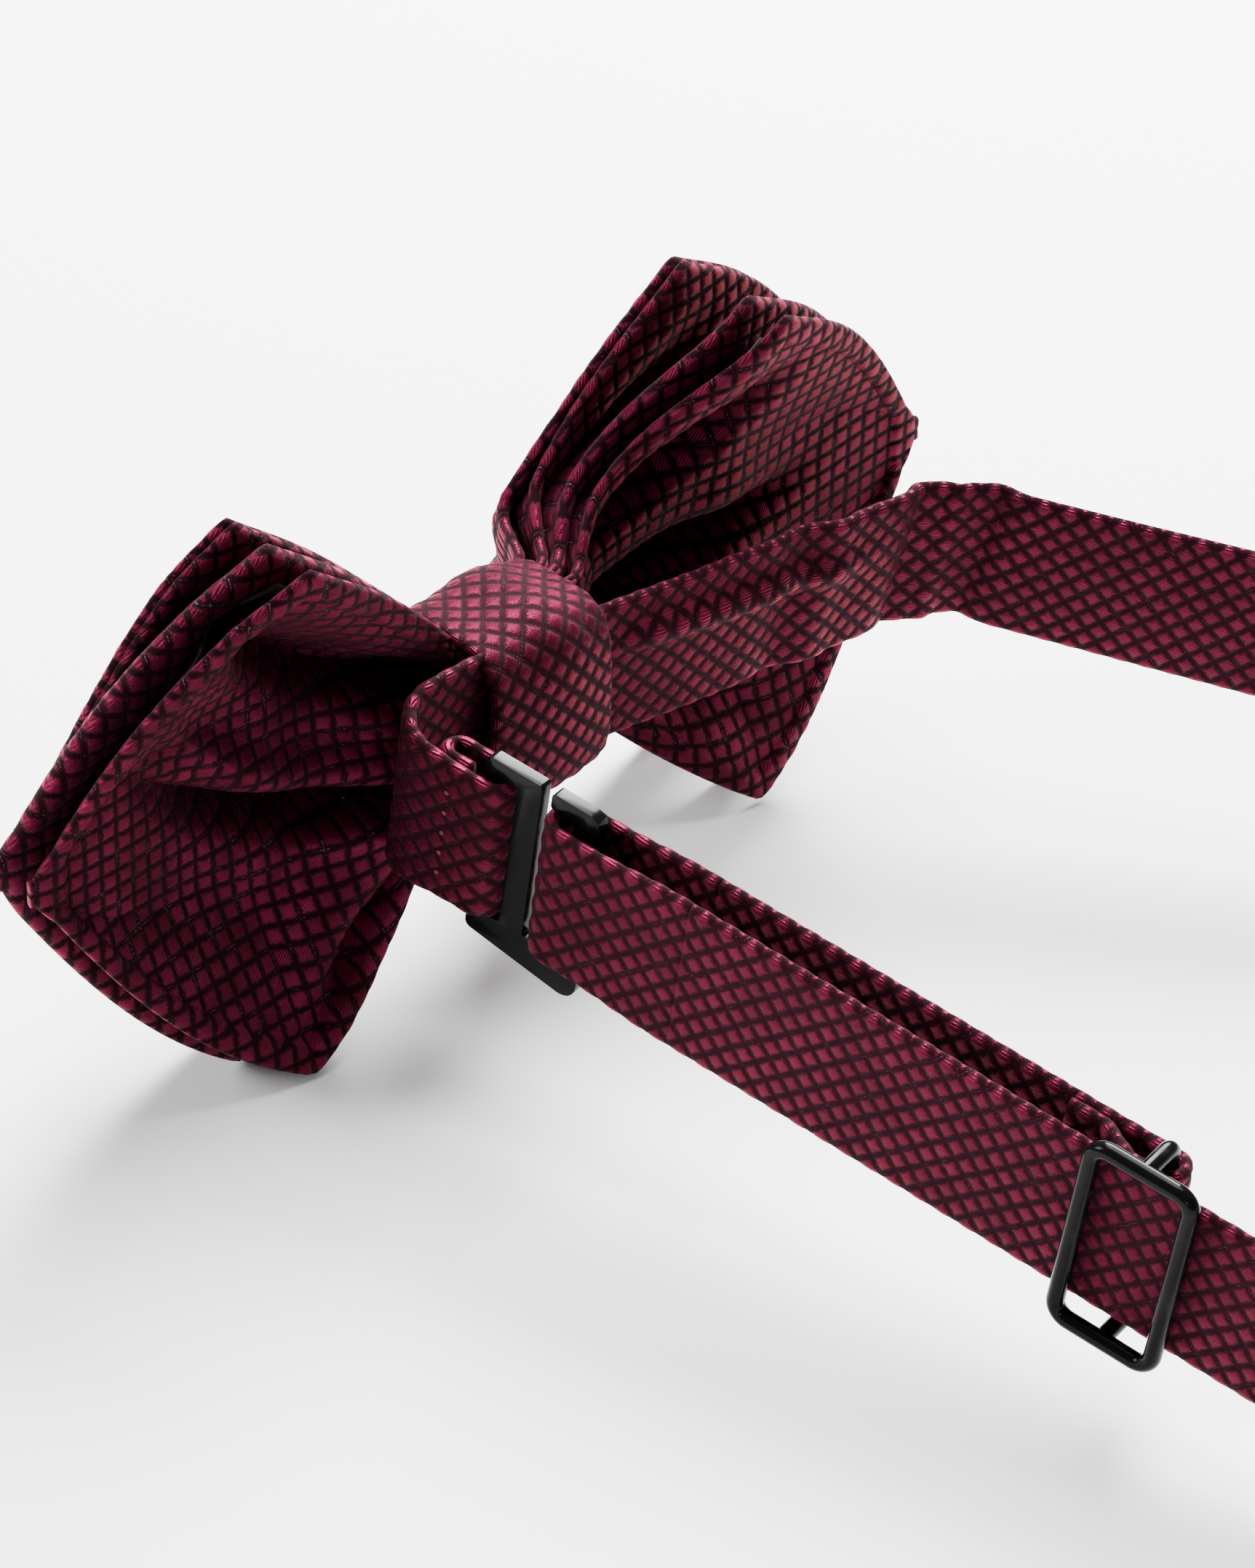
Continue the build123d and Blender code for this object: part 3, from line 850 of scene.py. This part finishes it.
# %% [markdown]
# ## The short strap
# The short strap comes out of the knot, turns along the band and goes round the hook's eye, and its
# end is turned under and stitched. Its line is built like the band's, and it narrows towards the
# hook, because it is gathered into the eye.

# %% Short strap
eye_loop = 1.91         # mm from the eye's middle to the middle of the cloth round it
return_run = 5.0        # mm that the strap runs back from the eye
fold_out = eye_loop - 1.26
short_width, short_tape_width = 21.0, 17.4
fold_radius = (fold_out + eye_loop) / 2
short_start = np.array((1.0, strap_y))
eye_flat = from_ring(eye)
corner_run = (strap_y - eye_flat[1] - ring_out[1] * eye_loop) / ring_along[1]
short_corner = eye_flat + ring_along * corner_run + ring_out * eye_loop
eye_side = eye_flat + ring_out * eye_loop
out_angle = atan2(ring_out[1], ring_out[0])
turn_back = eye_flat - ring_out * eye_loop - ring_along * return_run
fold_middle = eye_flat - ring_along * return_run + ring_out * (fold_out - fold_radius)
fold_end = eye_flat - ring_along * (return_run - 2.5) + ring_out * fold_out
short_bend = corner(short_start, short_corner, eye_side, 5.0)
short_line = joined(straight(short_start, short_bend[0]), short_bend,
                    straight(short_bend[-1], eye_side),
                    arc(eye_flat, eye_loop, out_angle, out_angle + pi),
                    straight(eye_flat - ring_out * eye_loop, turn_back),
                    arc(fold_middle, fold_radius, out_angle + pi, out_angle + 2 * pi),
                    straight(fold_middle + ring_out * fold_radius, fold_end))


def narrowing(width):
    """This width at the knot, and less towards the hook."""
    return lambda run: width - 3.8 * smooth(run, 14, 31)


short = strap("short_strap_cloth", short_line, on_ring, narrowing(short_width), cells=0.36)
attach(short, "bow")
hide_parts("short_strap")
short_tape = strap("short_strap_tape", short_line, on_ring, narrowing(short_tape_width),
                   thickness=0.3, puff=0, cells=1.2)
short_tape.data.materials[0] = felt
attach(short_tape, "bow")
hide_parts("short_strap_interlining")
print(f"short strap: {short['flat_length']:.0f} mm")

# %% [markdown]
# ## The hook
# The hook is stamped from a flat plate: a closed eye on one side for the short strap, and on the
# other side an open slot with a narrow mouth, so that the band's loop can be pressed in. A cube the
# size of the plate is cut to its slanted base, the slots are cut through it, and a fine bevel breaks
# all its edges.

# %% Hook
hook_thick = 1.5
slot_top = 8.8          # mm from the hook's middle to a slot's end
hook_top = slot_top + 1.9
hook_base = -13.4       # mm, the lowest point of the slanted base
prong_side, eye_side_u = 1.45, -12.5    # mm along the strap, the plate's two sides
eye_slot, band_slot = (-10.6, -8.55), (-5.65, -1.45)
mouth = (-5.65, -4.45)  # mm along the strap, the narrow opening of the band's slot
through = 2             # mm that a cutter reaches past the plate's middle


def block(name, low, high):
    """A cube primitive stretched between two corners, in the hook's own millimetres."""
    nothing_selected()
    bpy.ops.mesh.primitive_cube_add(size=1)
    made = bpy.context.object
    made.name = name
    low, high = np.array(low), np.array(high)
    set_coordinates(made, (coordinates(made) + 0.5) * (high - low) + low)
    return made


def cut_away(target, cutter):
    apply_modifier(target, "BOOLEAN", object=cutter, operation="DIFFERENCE", solver="EXACT")
    bpy.data.objects.remove(cutter)


def bevel_corners(obj, chosen, width, segments):
    """Bevels the upright edges whose place in the plate's plane is chosen."""
    nothing_selected()
    bpy.context.view_layer.objects.active = obj
    obj.select_set(True)
    bpy.ops.object.mode_set(mode="EDIT")
    bpy.ops.mesh.select_mode(type="EDGE")
    bpy.ops.mesh.select_all(action="DESELECT")
    bpy.ops.object.mode_set(mode="OBJECT")
    for edge in obj.data.edges:
        first, second = (obj.data.vertices[index].co for index in edge.vertices)
        upright_edge = (first - second).xy.length < 0.01 and abs(first.z - second.z) > 1
        edge.select = upright_edge and chosen(first.x, first.y)
    bpy.ops.object.mode_set(mode="EDIT")
    bpy.ops.mesh.bevel(offset=width, segments=segments)
    bpy.ops.object.mode_set(mode="OBJECT")


plate = block("hook_plate", (eye_side_u, hook_base, -hook_thick / 2),
              (prong_side, hook_top, hook_thick / 2))
bpy.ops.object.mode_set(mode="EDIT")
bpy.ops.mesh.select_all(action="SELECT")
slant = Vector((1.9, prong_side - eye_side_u, 0)).normalized()
bpy.ops.mesh.bisect(plane_co=(eye_side_u, -11.5, 0), plane_no=slant, clear_inner=True,
                    use_fill=True)
bpy.ops.object.mode_set(mode="OBJECT")
bevel_corners(plate, lambda x, y: x > 1 and y < -10, 2.2, 8)
bevel_corners(plate, lambda x, y: x > 1 and y > 9, 1.3, 2)
bevel_corners(plate, lambda x, y: x < -12, 0.7, 5)
for name, (first_u, last_u), low_v, high_v in (("eye_cutter", eye_slot, -slot_top, slot_top),
                                               ("slot_cutter", band_slot, -slot_top, slot_top),
                                               ("mouth_cutter", mouth, slot_top - 0.5, hook_top + 1)):
    cut_away(plate, block(name, (first_u, low_v, -through), (last_u, high_v, through)))
bevel_corners(plate, lambda x, y: abs(abs(y) - slot_top) < 0.1 or (y > 10 and -6 < x < -4),
              0.4, 4)
apply_modifier(plate, "BEVEL", width=0.28, segments=3, limit_method="ANGLE", angle_limit=radians(40))
plate_points = coordinates(plate)
set_coordinates(plate, beside(plate_points[:, 0], plate_points[:, 2], plate_points[:, 1]) * MM)
bpy.ops.object.mode_set(mode="EDIT")
bpy.ops.mesh.select_all(action="SELECT")
bpy.ops.mesh.normals_make_consistent(inside=False)
bpy.ops.object.mode_set(mode="OBJECT")
bpy.ops.object.shade_smooth_by_angle(angle=radians(28))
plate.data.materials.append(coated)
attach(plate, "hook")
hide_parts("strap_hook")
print("hook:", len(plate.data.polygons), "faces")

# %% [markdown]
# ## The slider, the padding and the stitches
# The wire slider, the padding inside the knot and the rows of stitches come from the CAD model as
# they are. They only need their finishes.

# %% Finishes on the CAD nodes
finishes = {"strap_slider": coated, "knot_pad": felt, "waist_thread": thread, "knot_tack": thread,
            "band_tack": thread, "slider_tack": thread, "short_strap_tack": thread}
for node, finish in finishes.items():
    for index in range(len(frame["nodes"][node].material_slots)):
        frame["nodes"][node].material_slots[index].material = finish
print("finishes on CAD nodes:", len(finishes))
